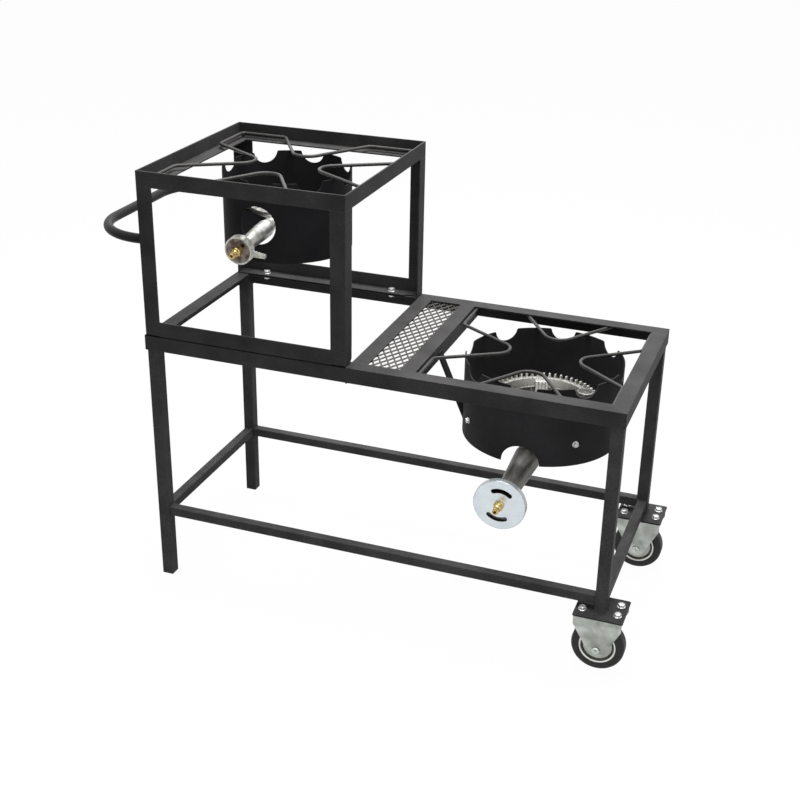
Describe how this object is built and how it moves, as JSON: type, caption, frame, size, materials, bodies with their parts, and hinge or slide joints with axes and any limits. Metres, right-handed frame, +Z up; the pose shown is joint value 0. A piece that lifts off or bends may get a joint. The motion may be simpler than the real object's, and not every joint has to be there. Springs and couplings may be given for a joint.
{
  "type": "two burner gas stove",
  "caption": "Free standing gas stove on a welded angle iron frame: a low ring burner and a raised pan burner under wire trivets, with a push handle and rigid casters.",
  "frame": {"origin": "on the floor, under the middle of the whole stove's bounding box", "axes": "+X along the stove from the handle to the casters, +Y from the inlets to the back, +Z up"},
  "size_m": [1.1764, 0.5736, 0.917],
  "materials": {
    "frame_paint": "satin black powder coat",
    "mesh_paint": "satin black powder coat",
    "cap_plastic": "black moulded plastic",
    "trivet_rod": "dark grey satin paint on round rod",
    "shield_paint": "matt black heat proof paint",
    "strap_paint": "matt black paint on flat steel",
    "ring_casting": "sand cast, as cast",
    "base_steel": "plain steel plate",
    "tube_casting": "grey sand casting",
    "lower_shutter_sheet": "bright pressed sheet",
    "nozzle_brass": "turned brass",
    "pan_casting": "cast aluminium, bright",
    "cap_casting": "grey cast iron, as cast",
    "upper_shutter_sheet": "bright pressed sheet",
    "caster_zinc": "zinc plated pressed steel",
    "wheel_steel": "zinc plated steel wheel",
    "tyre_rubber": "black solid rubber",
    "bolt_zinc": "zinc plated"
  },
  "bodies": {
    "frame": {"box_bolts": "bolt_zinc", "box_bottom_rail_back": "frame_paint", "box_bottom_rail_front": "frame_paint", "box_bottom_rail_left": "frame_paint", "box_bottom_rail_right": "frame_paint", "box_post_back_left": "frame_paint", "box_post_back_right": "frame_paint", "box_post_front_left": "frame_paint", "box_post_front_right": "frame_paint", "box_top_rail_back": "frame_paint", "box_top_rail_front": "frame_paint", "box_top_rail_left": "frame_paint", "box_top_rail_right": "frame_paint", "burner_bolts": "bolt_zinc", "caster_axle_back": "caster_zinc", "caster_axle_front": "caster_zinc", "caster_bolts": "bolt_zinc", "caster_fork_back": "caster_zinc", "caster_fork_front": "caster_zinc", "caster_plate_back": "frame_paint", "caster_plate_front": "frame_paint", "crossbar_left": "frame_paint", "crossbar_right": "frame_paint", "foot_caps": "cap_plastic", "frame_rail_back": "frame_paint", "frame_rail_front": "frame_paint", "frame_rail_left": "frame_paint", "frame_rail_right": "frame_paint", "handle": "frame_paint", "leg_back_left": "frame_paint", "leg_back_right": "frame_paint", "leg_front_left": "frame_paint", "leg_front_right": "frame_paint", "lower_burner_base": "base_steel", "lower_gas_nozzle": "nozzle_brass", "lower_hanger_left": "strap_paint", "lower_hanger_right": "strap_paint", "lower_mixing_tube": "tube_casting", "lower_ring_burner": "ring_casting", "lower_support_arms": "strap_paint", "lower_support_bar": "strap_paint", "lower_trivet": "trivet_rod", "lower_wind_shield": "shield_paint", "shelf_mesh": "mesh_paint", "stretcher_back": "frame_paint", "stretcher_front": "frame_paint", "stretcher_left": "frame_paint", "stretcher_right": "frame_paint", "upper_burner_body": "pan_casting", "upper_burner_cap": "cap_casting", "upper_gas_nozzle": "nozzle_brass", "upper_support_bar": "strap_paint", "upper_trivet": "trivet_rod", "upper_wind_shield": "shield_paint"},
    "front_wheel": {"caster_wheel_front": "wheel_steel", "caster_tyre_front": "tyre_rubber"},
    "back_wheel": {"caster_wheel_back": "wheel_steel", "caster_tyre_back": "tyre_rubber"},
    "lower_shutter": {"lower_air_shutter": "lower_shutter_sheet"},
    "upper_shutter": {"upper_air_shutter": "upper_shutter_sheet"}
  },
  "joints": [
    {"name": "front_wheel_spin", "type": "hinge", "parent": "frame", "child": "front_wheel", "pos_m": [0.53425, -0.1677, 0.054], "axis": [0, 1, 0], "continuous": true},
    {"name": "back_wheel_spin", "type": "hinge", "parent": "frame", "child": "back_wheel", "pos_m": [0.53425, 0.2443, 0.054], "axis": [0, 1, 0], "continuous": true},
    {"name": "lower_shutter_turn", "type": "hinge", "parent": "frame", "child": "lower_shutter", "pos_m": [0.33775, -0.25838, 0.37466], "axis": [0, -0.9998, -0.0209], "range_deg": [0, 90]},
    {"name": "upper_shutter_turn", "type": "hinge", "parent": "frame", "child": "upper_shutter", "pos_m": [-0.22525, -0.1937, 0.78401], "axis": [0, -0.9969, -0.0785], "range_deg": [0, 90]}
  ]
}
